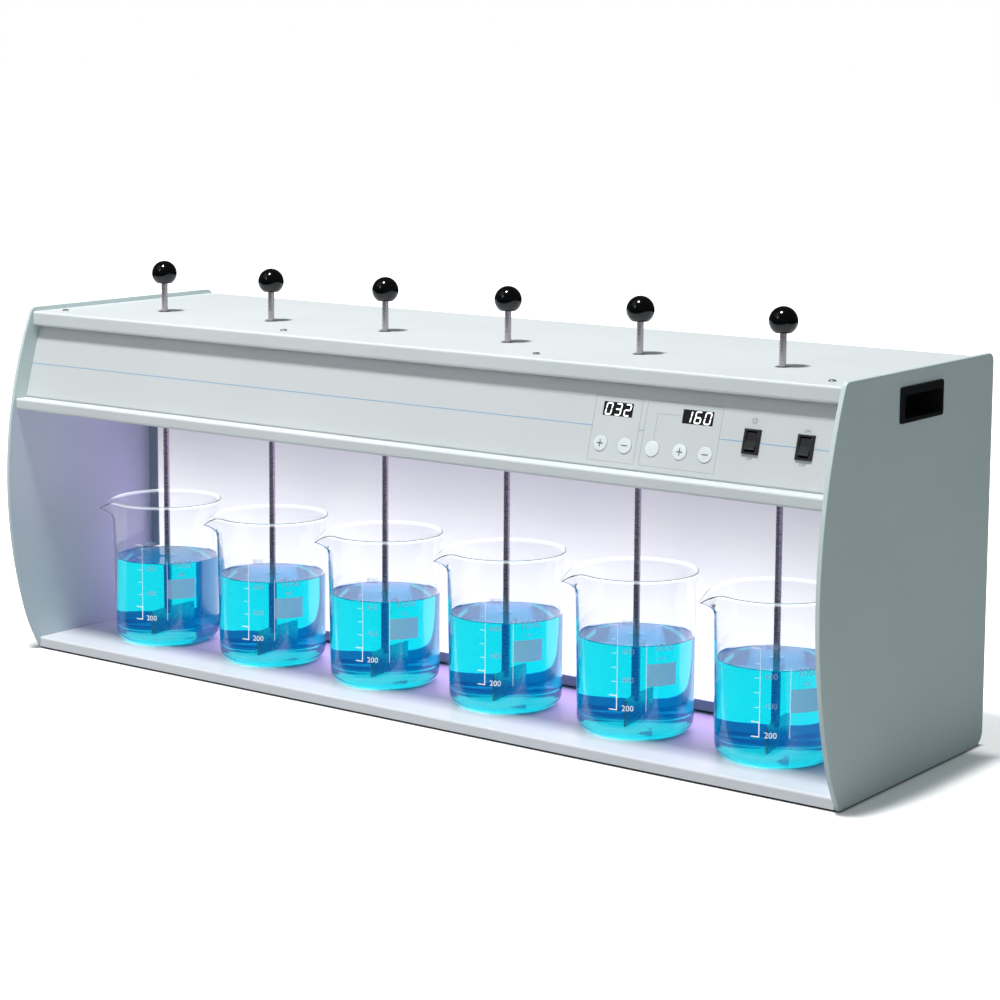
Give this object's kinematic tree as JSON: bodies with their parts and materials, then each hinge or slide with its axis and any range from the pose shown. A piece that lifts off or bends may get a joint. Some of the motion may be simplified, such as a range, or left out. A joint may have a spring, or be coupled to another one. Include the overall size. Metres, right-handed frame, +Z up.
{
  "type": "six-place jar tester",
  "caption": "Long bench-top jar tester: lit stand with curved side panels, geared stirring head, sliding rods with ball knobs, and spouted glass jars.",
  "frame": {"origin": "on the bench top, under the middle of the stand's length and depth", "axes": "+X to the operator's right, +Y to the back, +Z up"},
  "size_m": [0.938, 0.299, 0.3994],
  "materials": {
    "panel_paint": "fine-textured grey powder coat",
    "cover_paint": "satin light grey powder coat",
    "head_paint": "satin light grey powder coat",
    "shelf_paint": "satin light grey powder coat",
    "fascia_paint": "matte printed front film",
    "frame_paint": "satin slate grey",
    "opal_sheet": "opal acrylic, lit from behind",
    "white_enamel": "white enamel",
    "white_moulding": "moulded",
    "lamp_glass": "white-coated tube",
    "black_moulding": "fine-textured moulding",
    "foot_rubber": "matte",
    "screw_steel": "zinc plated",
    "board_laminate": "glass-fibre laminate",
    "display_black": "smoked window",
    "zinc_plate": "zinc plated",
    "bush_bronze": "sintered",
    "rod_steel": "ground stainless steel",
    "motor_case": "cast",
    "rocker_black": "satin moulding",
    "gear_moulding": "moulded acetal",
    "knob_black": "polished phenolic",
    "key_moulding": "soft satin",
    "jar_glass": "clear laboratory glass"
  },
  "bodies": {
    "stand": {"side_panel_right": "panel_paint", "side_panel_left": "panel_paint", "carry_handles": "black_moulding", "base_shelf": "shelf_paint", "rubber_feet": "foot_rubber", "head_tray": "head_paint", "top_cover": "cover_paint", "cover_screws": "screw_steel", "rear_cover": "panel_paint", "mains_inlet": "black_moulding", "diffuser_frame": "frame_paint", "light_diffuser": "opal_sheet", "lamp_tray": "white_enamel", "lamp_holders": "white_moulding", "lamp_tubes": "lamp_glass", "fascia_panel": "fascia_paint", "control_board": "board_laminate", "display_modules": "display_black", "switch_bodies": "black_moulding", "bearing_bridge": "zinc_plate", "spindle_bushes": "bush_bronze", "idler_axles": "rod_steel", "drive_motor": "motor_case"},
    "spindle_1": {"spindle_1": "gear_moulding"},
    "rod_1": {"stirring_rod_1": "rod_steel", "ball_knob_1": "knob_black"},
    "jar_1": {"jar_1": "jar_glass"},
    "spindle_2": {"spindle_2": "gear_moulding"},
    "rod_2": {"stirring_rod_2": "rod_steel", "ball_knob_2": "knob_black"},
    "jar_2": {"jar_2": "jar_glass"},
    "spindle_3": {"spindle_3": "gear_moulding"},
    "rod_3": {"stirring_rod_3": "rod_steel", "ball_knob_3": "knob_black"},
    "jar_3": {"jar_3": "jar_glass"},
    "spindle_4": {"spindle_4": "gear_moulding"},
    "rod_4": {"stirring_rod_4": "rod_steel", "ball_knob_4": "knob_black"},
    "jar_4": {"jar_4": "jar_glass"},
    "spindle_5": {"spindle_5": "gear_moulding"},
    "rod_5": {"stirring_rod_5": "rod_steel", "ball_knob_5": "knob_black"},
    "jar_5": {"jar_5": "jar_glass"},
    "spindle_6": {"spindle_6": "gear_moulding"},
    "rod_6": {"stirring_rod_6": "rod_steel", "ball_knob_6": "knob_black"},
    "jar_6": {"jar_6": "jar_glass"},
    "idler_1": {"idler_gear_1": "gear_moulding"},
    "key_1": {"key_1": "key_moulding"},
    "idler_2": {"idler_gear_2": "gear_moulding"},
    "key_2": {"key_2": "key_moulding"},
    "idler_3": {"idler_gear_3": "gear_moulding"},
    "key_3": {"key_3": "key_moulding"},
    "idler_4": {"idler_gear_4": "gear_moulding"},
    "key_4": {"key_4": "key_moulding"},
    "idler_5": {"idler_gear_5": "gear_moulding"},
    "key_5": {"key_5": "key_moulding"},
    "pinion": {"motor_pinion": "rod_steel"},
    "rocker_lamp": {"rocker_lamp": "rocker_black"},
    "rocker_power": {"rocker_power": "rocker_black"}
  },
  "joints": [
    {"name": "spindle_1_turn", "type": "hinge", "parent": "stand", "child": "spindle_1", "pos_m": [-0.36, -0.0305, 0.266], "axis": [0, 0, 1], "continuous": true},
    {"name": "spindle_2_turn", "type": "hinge", "parent": "stand", "child": "spindle_2", "pos_m": [-0.216, -0.0305, 0.266], "axis": [0, 0, 1], "continuous": true},
    {"name": "spindle_3_turn", "type": "hinge", "parent": "stand", "child": "spindle_3", "pos_m": [-0.072, -0.0305, 0.266], "axis": [0, 0, 1], "continuous": true},
    {"name": "spindle_4_turn", "type": "hinge", "parent": "stand", "child": "spindle_4", "pos_m": [0.072, -0.0305, 0.266], "axis": [0, 0, 1], "continuous": true},
    {"name": "spindle_5_turn", "type": "hinge", "parent": "stand", "child": "spindle_5", "pos_m": [0.216, -0.0305, 0.266], "axis": [0, 0, 1], "continuous": true},
    {"name": "spindle_6_turn", "type": "hinge", "parent": "stand", "child": "spindle_6", "pos_m": [0.36, -0.0305, 0.266], "axis": [0, 0, 1], "continuous": true},
    {"name": "idler_1_turn", "type": "hinge", "parent": "stand", "child": "idler_1", "pos_m": [-0.288, -0.0305, 0.266], "axis": [0, 0, 1], "continuous": true},
    {"name": "idler_2_turn", "type": "hinge", "parent": "stand", "child": "idler_2", "pos_m": [-0.144, -0.0305, 0.266], "axis": [0, 0, 1], "continuous": true},
    {"name": "idler_3_turn", "type": "hinge", "parent": "stand", "child": "idler_3", "pos_m": [0, -0.0305, 0.266], "axis": [0, 0, 1], "continuous": true},
    {"name": "idler_4_turn", "type": "hinge", "parent": "stand", "child": "idler_4", "pos_m": [0.144, -0.0305, 0.266], "axis": [0, 0, 1], "continuous": true},
    {"name": "idler_5_turn", "type": "hinge", "parent": "stand", "child": "idler_5", "pos_m": [0.288, -0.0305, 0.266], "axis": [0, 0, 1], "continuous": true},
    {"name": "motor_turn", "type": "hinge", "parent": "stand", "child": "pinion", "pos_m": [0, 0.0295, 0.266], "axis": [0, 0, 1], "continuous": true},
    {"name": "rod_1_slide", "type": "slide", "parent": "spindle_1", "child": "rod_1", "axis": [0, 0, 1], "range_m": [-0.004, 0.19]},
    {"name": "rod_2_slide", "type": "slide", "parent": "spindle_2", "child": "rod_2", "axis": [0, 0, 1], "range_m": [-0.004, 0.19]},
    {"name": "rod_3_slide", "type": "slide", "parent": "spindle_3", "child": "rod_3", "axis": [0, 0, 1], "range_m": [-0.004, 0.19]},
    {"name": "rod_4_slide", "type": "slide", "parent": "spindle_4", "child": "rod_4", "axis": [0, 0, 1], "range_m": [-0.004, 0.19]},
    {"name": "rod_5_slide", "type": "slide", "parent": "spindle_5", "child": "rod_5", "axis": [0, 0, 1], "range_m": [-0.004, 0.19]},
    {"name": "rod_6_slide", "type": "slide", "parent": "spindle_6", "child": "rod_6", "axis": [0, 0, 1], "range_m": [-0.004, 0.19]},
    {"name": "jar_1_lift", "type": "slide", "parent": "stand", "child": "jar_1", "axis": [0, 0, 1], "range_m": [0, 0.007]},
    {"name": "jar_2_lift", "type": "slide", "parent": "stand", "child": "jar_2", "axis": [0, 0, 1], "range_m": [0, 0.007]},
    {"name": "jar_3_lift", "type": "slide", "parent": "stand", "child": "jar_3", "axis": [0, 0, 1], "range_m": [0, 0.007]},
    {"name": "jar_4_lift", "type": "slide", "parent": "stand", "child": "jar_4", "axis": [0, 0, 1], "range_m": [0, 0.007]},
    {"name": "jar_5_lift", "type": "slide", "parent": "stand", "child": "jar_5", "axis": [0, 0, 1], "range_m": [0, 0.007]},
    {"name": "jar_6_lift", "type": "slide", "parent": "stand", "child": "jar_6", "axis": [0, 0, 1], "range_m": [0, 0.007]},
    {"name": "key_1_press", "type": "slide", "parent": "stand", "child": "key_1", "axis": [0, 0.9608, -0.2773], "range_m": [0, 0.0008], "stiffness_N_per_m": 500, "springref_m": -0.0004},
    {"name": "key_2_press", "type": "slide", "parent": "stand", "child": "key_2", "axis": [0, 0.9608, -0.2773], "range_m": [0, 0.0008], "stiffness_N_per_m": 500, "springref_m": -0.0004},
    {"name": "key_3_press", "type": "slide", "parent": "stand", "child": "key_3", "axis": [0, 0.9608, -0.2773], "range_m": [0, 0.0008], "stiffness_N_per_m": 500, "springref_m": -0.0004},
    {"name": "key_4_press", "type": "slide", "parent": "stand", "child": "key_4", "axis": [0, 0.9608, -0.2773], "range_m": [0, 0.0008], "stiffness_N_per_m": 500, "springref_m": -0.0004},
    {"name": "key_5_press", "type": "slide", "parent": "stand", "child": "key_5", "axis": [0, 0.9608, -0.2773], "range_m": [0, 0.0008], "stiffness_N_per_m": 500, "springref_m": -0.0004},
    {"name": "rocker_lamp_tip", "type": "hinge", "parent": "stand", "child": "rocker_lamp", "pos_m": [0.3821, -0.11259, 0.29556], "axis": [1, 0, 0], "range_deg": [0, 20]},
    {"name": "rocker_power_tip", "type": "hinge", "parent": "stand", "child": "rocker_power", "pos_m": [0.432, -0.11259, 0.29556], "axis": [1, 0, 0], "range_deg": [0, 20]}
  ],
  "couplings": [
    {"joint": "spindle_1_turn", "follows": "spindle_3_turn", "ratio": 1},
    {"joint": "spindle_2_turn", "follows": "spindle_3_turn", "ratio": 1},
    {"joint": "spindle_4_turn", "follows": "spindle_3_turn", "ratio": 1},
    {"joint": "spindle_5_turn", "follows": "spindle_3_turn", "ratio": 1},
    {"joint": "spindle_6_turn", "follows": "spindle_3_turn", "ratio": 1},
    {"joint": "idler_1_turn", "follows": "spindle_3_turn", "ratio": -1},
    {"joint": "idler_2_turn", "follows": "spindle_3_turn", "ratio": -1},
    {"joint": "idler_3_turn", "follows": "spindle_3_turn", "ratio": -1},
    {"joint": "idler_4_turn", "follows": "spindle_3_turn", "ratio": -1},
    {"joint": "idler_5_turn", "follows": "spindle_3_turn", "ratio": -1},
    {"joint": "motor_turn", "follows": "spindle_3_turn", "ratio": 1.5}
  ]
}
